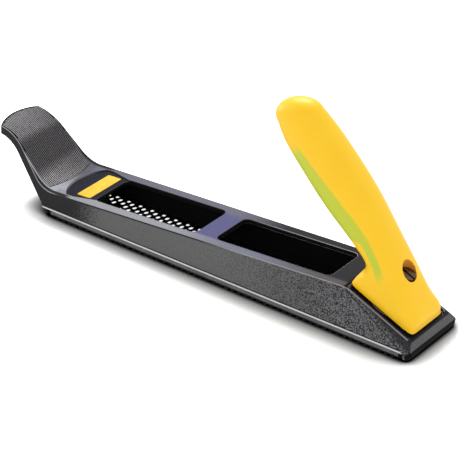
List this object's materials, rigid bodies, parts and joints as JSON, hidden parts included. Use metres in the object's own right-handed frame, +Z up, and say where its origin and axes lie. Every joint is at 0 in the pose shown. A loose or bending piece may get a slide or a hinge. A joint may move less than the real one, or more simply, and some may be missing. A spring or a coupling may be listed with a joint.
{
  "type": "rasp plane",
  "caption": "Convertible rasp plane: cast channel body with a ribbed thumb rest, perforated rasp blade pulled tight by a screw and hook, plastic handle that swivels on a sloped seat.",
  "frame": {"origin": "middle of the whole length and width, on the plane of the tooth tips", "axes": "+X towards the heel, +Y across the body, +Z up"},
  "size_m": [0.305, 0.0498, 0.122],
  "materials": {
    "cast_body": "dark grey textured paint on a die casting",
    "label": "yellow printed foil, left bare",
    "blade_steel": "dark hardened steel sheet",
    "zinc_hardware": "zinc plated",
    "spring_steel": "dark spring steel",
    "dark_screw": "bronzed steel",
    "handle_plastic": "smooth moulded plastic, half gloss"
  },
  "bodies": {
    "casting": {"body_casting": "cast_body", "label_plate": "label", "rasp_blade": "blade_steel", "tension_washer": "zinc_hardware", "handle_nut": "zinc_hardware"},
    "grip": {"handle": "handle_plastic", "handle_bush": "zinc_hardware"},
    "washers": {"handle_washer": "zinc_hardware", "lock_washer": "spring_steel"},
    "clamp_screw": {"handle_screw": "dark_screw"},
    "draw_screw": {"tension_screw": "zinc_hardware", "screw_clip": "spring_steel"},
    "draw_hook": {"tension_hook": "zinc_hardware", "tension_nut": "zinc_hardware"}
  },
  "joints": [
    {"name": "handle_swivel", "type": "hinge", "parent": "casting", "child": "grip", "pos_m": [0.12668, 0, 0.02054], "axis": [0.4019, 0, 0.9157], "range_deg": [0, 180]},
    {"name": "clamp_lift", "type": "slide", "parent": "casting", "child": "washers", "axis": [0.4019, 0, 0.9157], "range_m": [0, 0.002]},
    {"name": "clamp_screw_turn", "type": "hinge", "parent": "washers", "child": "clamp_screw", "pos_m": [0.12668, 0, 0.02054], "axis": [0.4019, 0, 0.9157], "range_deg": [0, 720]},
    {"name": "draw_screw_turn", "type": "hinge", "parent": "casting", "child": "draw_screw", "pos_m": [-0.10403, 0, 0.0088], "axis": [-1, 0, 0], "range_deg": [0, 1440]},
    {"name": "draw_hook_slide", "type": "slide", "parent": "casting", "child": "draw_hook", "axis": [1, 0, 0], "range_m": [0, 0.0032]}
  ],
  "couplings": [
    {"joint": "clamp_screw_turn", "follows": "clamp_lift", "rad_per_m": 6283.2},
    {"joint": "draw_screw_turn", "follows": "draw_hook_slide", "rad_per_m": 7854}
  ]
}
